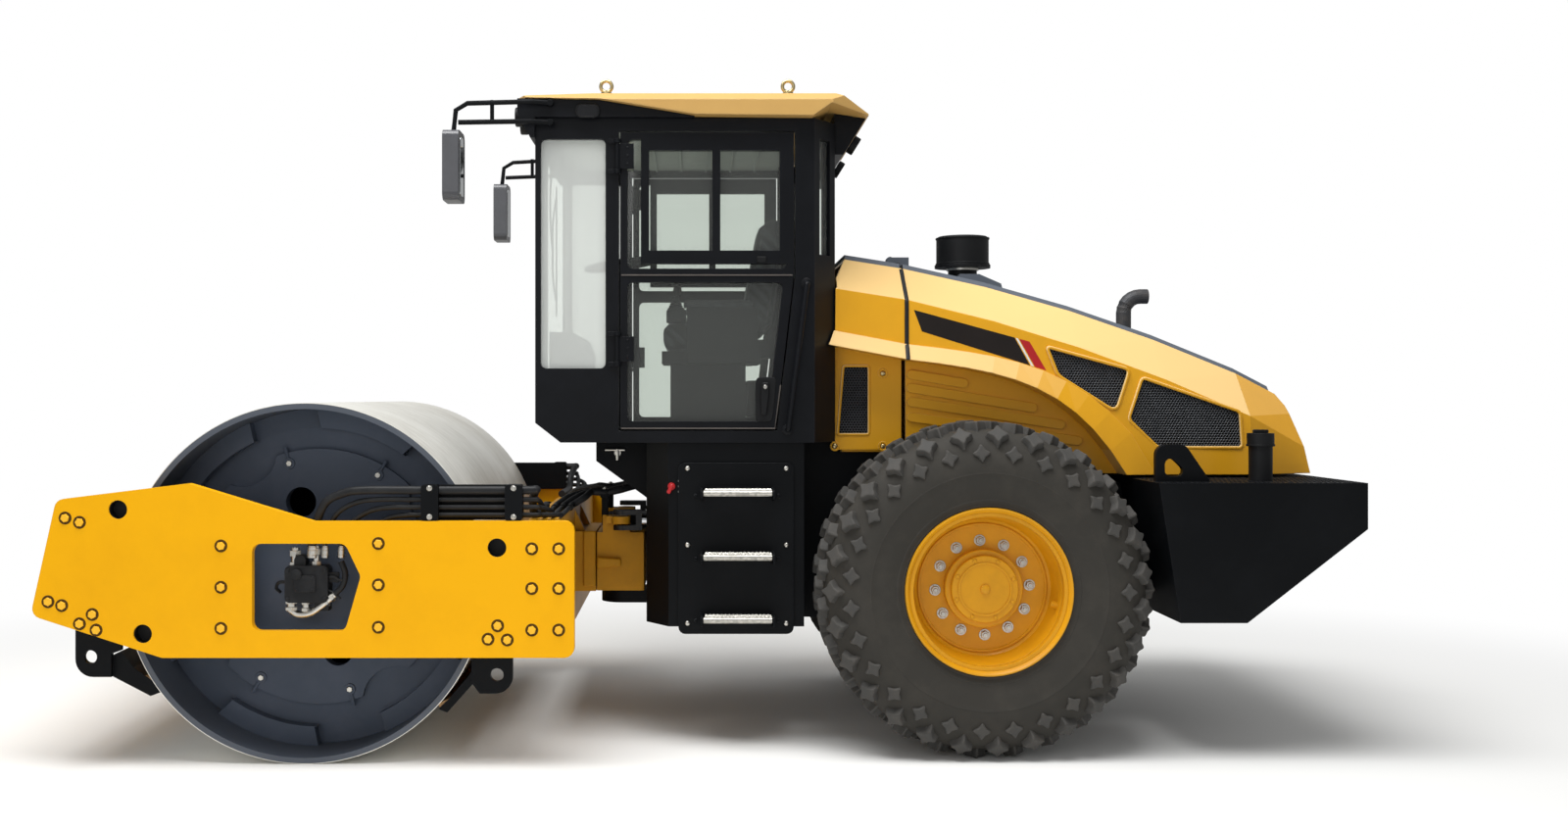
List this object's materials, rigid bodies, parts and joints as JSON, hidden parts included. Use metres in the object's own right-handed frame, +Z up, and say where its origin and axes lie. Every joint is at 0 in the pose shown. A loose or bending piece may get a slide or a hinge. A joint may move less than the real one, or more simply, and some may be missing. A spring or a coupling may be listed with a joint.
{
  "type": "single-drum road roller",
  "caption": "Articulated single-drum road roller with a smooth steel drum, a glazed cab, lugged rear tyres and a tilting engine hood.",
  "frame": {"origin": "on the ground under the middle of the machine", "axes": "+X to the rear (drum end is -X), +Y to the machine's right side, +Z up"},
  "size_m": [5.5995, 2.3, 2.9824],
  "materials": {
    "frame_yellow": "frame yellow",
    "hood_yellow": "hood yellow",
    "roof_amber": "roof amber",
    "rim_yellow": "rim yellow",
    "chassis_black": "chassis black",
    "cab_black": "cab black",
    "plastic_black": "plastic black",
    "hood_grey": "hood grey",
    "console_grey": "console grey",
    "seat_cloth": "seat cloth",
    "glass": "glass",
    "lamp_lens": "lamp lens",
    "zinc": "zinc",
    "galvanised": "galvanised",
    "rod_chrome": "rod chrome",
    "drum_steel": "drum steel",
    "head_grey": "head grey",
    "motor_black": "motor black",
    "exhaust_steel": "exhaust steel",
    "tyre_rubber": "tyre rubber",
    "hose_rubber": "hose rubber"
  },
  "bodies": {
    "rear_frame": {"rear_chassis": "chassis_black", "side_tanks": "chassis_black", "step_panels": "chassis_black", "step_treads": "galvanised", "tail_ballast": "chassis_black", "tank_filler": "plastic_black", "rear_axle": "chassis_black", "engine_block": "motor_black", "cowl_shell": "hood_yellow", "cowl_grilles": "plastic_black", "cowl_top": "hood_grey", "cab_floor": "cab_black", "cab_front": "cab_black", "cab_sides": "cab_black", "cab_rear": "cab_black", "cab_glass": "glass", "cab_roof": "roof_amber", "roof_pods": "cab_black", "seat_base": "plastic_black", "seat_cushions": "seat_cloth", "steering_column": "plastic_black", "console": "console_grey", "mirror_arms": "chassis_black", "mirror_heads": "plastic_black", "lamps": "lamp_lens", "roof_eyes": "zinc"},
    "centre_joint": {"yoke": "frame_yellow"},
    "front_frame": {"side_plates": "frame_yellow", "front_beam": "frame_yellow", "rear_beam": "frame_yellow", "drum_carriers": "head_grey", "drum_motors": "motor_black", "scrapers": "chassis_black", "hose_clamps": "chassis_black", "drum_hoses": "hose_rubber"},
    "drum": {"drum_shell": "drum_steel", "drum_heads": "head_grey"},
    "wheel_left": {"tyre_left": "tyre_rubber", "rim_left": "rim_yellow"},
    "wheel_right": {"tyre_right": "tyre_rubber", "rim_right": "rim_yellow"},
    "door_left": {"door_left": "cab_black", "door_glass_left": "glass"},
    "door_right": {"door_right": "cab_black", "door_glass_right": "glass"},
    "hood": {"hood_shell": "hood_yellow", "hood_grilles": "plastic_black", "hood_top": "hood_grey", "hood_panels": "plastic_black", "pre_cleaner": "plastic_black", "exhaust": "exhaust_steel"},
    "cylinder_left": {"barrel_left": "chassis_black"},
    "cylinder_right": {"barrel_right": "chassis_black"},
    "rod_left": {"rod_left": "rod_chrome"},
    "rod_right": {"rod_right": "rod_chrome"}
  },
  "joints": [
    {"name": "steer", "type": "hinge", "parent": "rear_frame", "child": "centre_joint", "pos_m": [-0.39, 0, 0.768], "axis": [0, 0, 1], "range_deg": [-33, 33]},
    {"name": "oscillate", "type": "hinge", "parent": "centre_joint", "child": "front_frame", "pos_m": [-0.39, 0, 0.768], "axis": [1, 0, 0], "range_deg": [-10, 10]},
    {"name": "drum_roll", "type": "hinge", "parent": "front_frame", "child": "drum", "pos_m": [-1.688, 0, 0.7615], "axis": [0, 1, 0], "continuous": true},
    {"name": "wheel_left_roll", "type": "hinge", "parent": "rear_frame", "child": "wheel_left", "pos_m": [1.202, -0.805, 0.722], "axis": [0, 1, 0], "continuous": true},
    {"name": "wheel_right_roll", "type": "hinge", "parent": "rear_frame", "child": "wheel_right", "pos_m": [1.202, 0.805, 0.722], "axis": [0, 1, 0], "continuous": true},
    {"name": "door_left_swing", "type": "hinge", "parent": "rear_frame", "child": "door_left", "pos_m": [-0.385, -0.764, 2], "axis": [0, 0, -1], "range_deg": [0, 100]},
    {"name": "door_right_swing", "type": "hinge", "parent": "rear_frame", "child": "door_right", "pos_m": [-0.385, 0.764, 2], "axis": [0, 0, 1], "range_deg": [0, 100]},
    {"name": "hood_tilt", "type": "hinge", "parent": "rear_frame", "child": "hood", "pos_m": [0.883, 0, 2.197], "axis": [0, -1, 0], "range_deg": [0, 50]},
    {"name": "cylinder_left_swing", "type": "hinge", "parent": "rear_frame", "child": "cylinder_left", "pos_m": [0.34, -0.302, 0.971], "axis": [0, 0, 1], "range_deg": [-6, 6]},
    {"name": "cylinder_right_swing", "type": "hinge", "parent": "rear_frame", "child": "cylinder_right", "pos_m": [0.34, 0.302, 0.971], "axis": [0, 0, 1], "range_deg": [-6, 6]},
    {"name": "rod_left_slide", "type": "slide", "parent": "cylinder_left", "child": "rod_left", "axis": [-0.9997, -0.0247, 0], "range_m": [-0.18, 0.18]},
    {"name": "rod_right_slide", "type": "slide", "parent": "cylinder_right", "child": "rod_right", "axis": [-0.9997, 0.0247, 0], "range_m": [-0.18, 0.18]}
  ],
  "couplings": [
    {"joint": "cylinder_left_swing", "follows": "steer", "ratio": -0.0202},
    {"joint": "cylinder_right_swing", "follows": "steer", "ratio": -0.0202},
    {"joint": "rod_left_slide", "follows": "steer", "m_per_rad": -0.302},
    {"joint": "rod_right_slide", "follows": "steer", "m_per_rad": 0.302}
  ]
}
